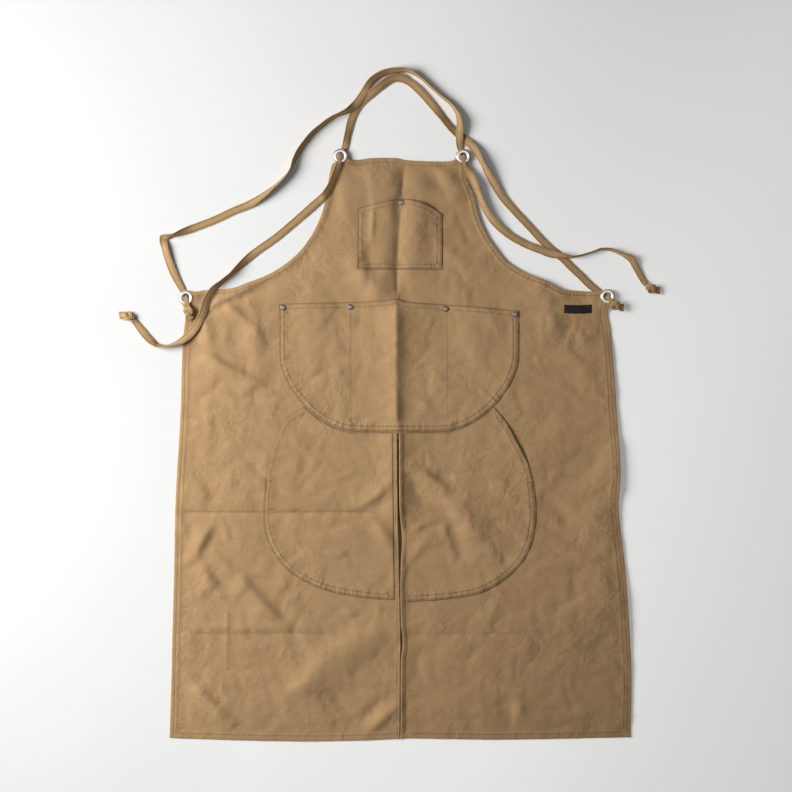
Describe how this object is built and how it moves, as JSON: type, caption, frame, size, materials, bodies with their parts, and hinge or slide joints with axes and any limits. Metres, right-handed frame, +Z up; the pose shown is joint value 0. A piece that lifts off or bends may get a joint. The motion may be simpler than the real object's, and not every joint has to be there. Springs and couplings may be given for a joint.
{
  "type": "split-leg apron",
  "caption": "Tan canvas work apron lying flat: bib, skirt split into legs, patch pockets, metal eyelets and rivets, and long cross-back tapes knotted at their ends.",
  "frame": {"origin": "on the surface that the apron lies on, under the middle of the apron without its straps", "axes": "+X to the right as seen from above with the bib at the top, +Y from hem to bib, +Z up from the surface"},
  "size_m": [0.8883, 1.1042, 0.0155],
  "materials": {
    "canvas": "matte woven canvas",
    "tape": "matte woven tape",
    "nickel": "polished nickel plate",
    "steel": "satin",
    "woven_black": "matte woven"
  },
  "bodies": {
    "root": {"apron_body": "canvas", "bib_pocket": "canvas", "waist_pocket": "canvas", "leg_pocket_left": "canvas", "leg_pocket_right": "canvas", "eyelet_bib_left": "nickel", "eyelet_bib_right": "nickel", "eyelet_waist_left": "nickel", "eyelet_waist_right": "nickel", "rivet_bib": "steel", "rivet_waist_1": "steel", "rivet_waist_2": "steel", "rivet_waist_3": "steel", "rivet_waist_4": "steel", "label": "woven_black", "strap_left": "tape", "strap_right": "tape", "strap_left_stopper": "tape", "strap_right_stopper": "tape", "strap_left_end_knot": "tape", "strap_right_end_knot": "tape"}
  },
  "joints": []
}
